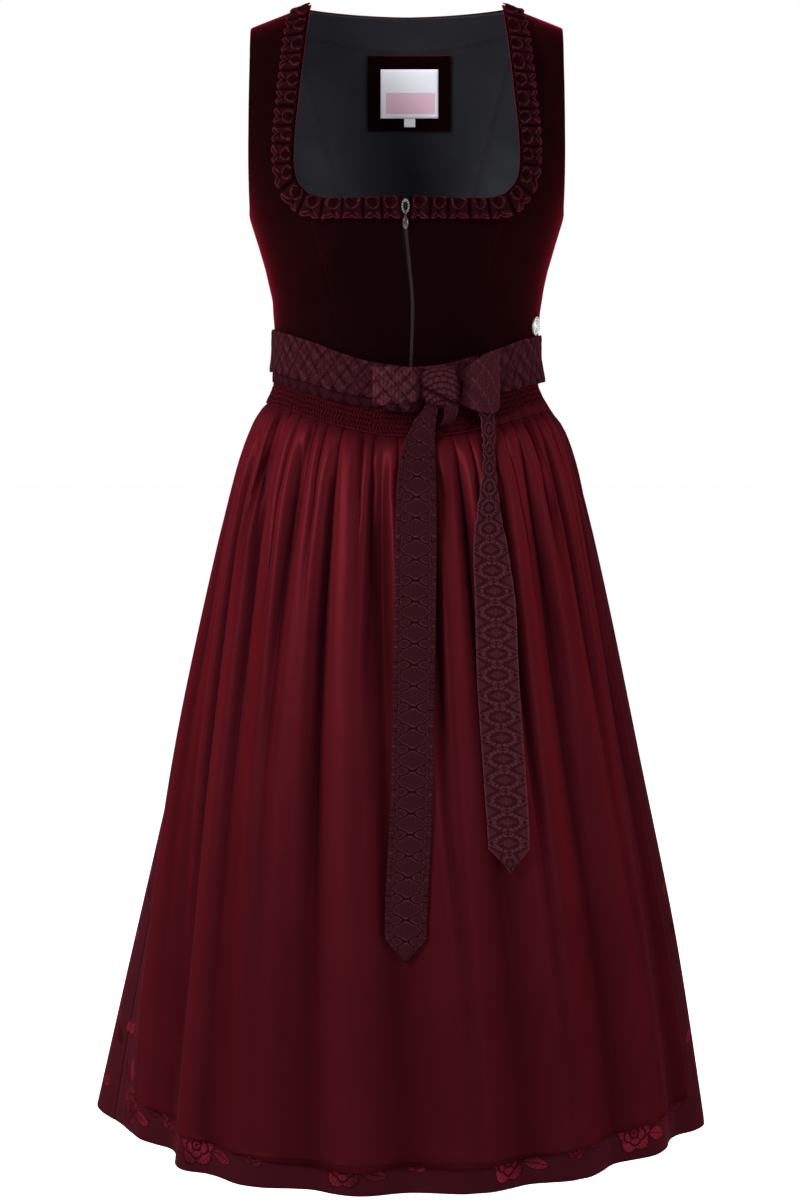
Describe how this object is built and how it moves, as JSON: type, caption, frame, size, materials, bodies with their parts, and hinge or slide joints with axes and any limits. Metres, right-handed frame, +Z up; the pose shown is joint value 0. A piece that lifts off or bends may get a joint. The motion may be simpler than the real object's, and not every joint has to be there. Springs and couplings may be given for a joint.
{
  "type": "dirndl dress",
  "caption": "Sleeveless worn-shape dirndl with square neck, front zip, gathered midi skirt and tied apron, hollow and open.",
  "frame": {"origin": "midway between the two shoulder straps, at the height of their underside beside the neck, where the wearer's shoulders carry the dress", "axes": "+Z up, the front faces -Y, +X is to the right of a viewer who stands in front"},
  "size_m": [0.5741, 0.4984, 1.0328],
  "materials": {
    "velvet": "dark wine cotton velvet with a short pile and a bright sheen at grazing angles",
    "trim_velvet": "gathered velvet strip, wine red with lighter crushed edges",
    "lining": "smooth dark blue-grey lining with a dull satin face",
    "label": "bare woven white label satin",
    "zip_coil": "brown-mauve nylon zip coil on woven tape",
    "zip_metal": "gunmetal slider and glossy wine-grey drop pull",
    "badge_metal": "matt silver metal with a raised rim",
    "jacquard": "wine jacquard with red satin roses and leaves on a matt ground",
    "apron_satin": "soft wine satin-back crepe with long folds",
    "quilted_tie": "matt mauve-wine brocade with quilted scales"
  },
  "bodies": {
    "dress": {"bodice_front_centre_left": "velvet", "bodice_front_centre_right": "velvet", "bodice_front_side_left": "velvet", "bodice_front_side_right": "velvet", "bodice_back_side_left": "velvet", "bodice_back_side_right": "velvet", "bodice_back_centre": "velvet", "back_lining": "lining", "label_patch": "velvet", "woven_label": "label", "size_tab": "label", "neck_trim_left": "trim_velvet", "neck_trim_right": "trim_velvet", "zip_chain": "zip_coil", "zip_slider": "zip_metal", "badge": "badge_metal", "skirt_front": "jacquard", "skirt_back": "jacquard", "apron": "apron_satin", "apron_smocking": "apron_satin", "apron_waistband": "quilted_tie", "waist_tie": "quilted_tie", "bow_loop_left": "quilted_tie", "bow_loop_right": "quilted_tie", "bow_knot": "quilted_tie", "tie_end_left": "quilted_tie", "tie_end_right": "quilted_tie"},
    "zip_pull": {"zip_pull": "zip_metal"}
  },
  "joints": [
    {"name": "zip_pull_swing", "type": "hinge", "parent": "dress", "child": "zip_pull", "pos_m": [-0.0012, -0.10971, -0.1894], "axis": [-1, 0, 0], "range_deg": [0, 150]}
  ]
}
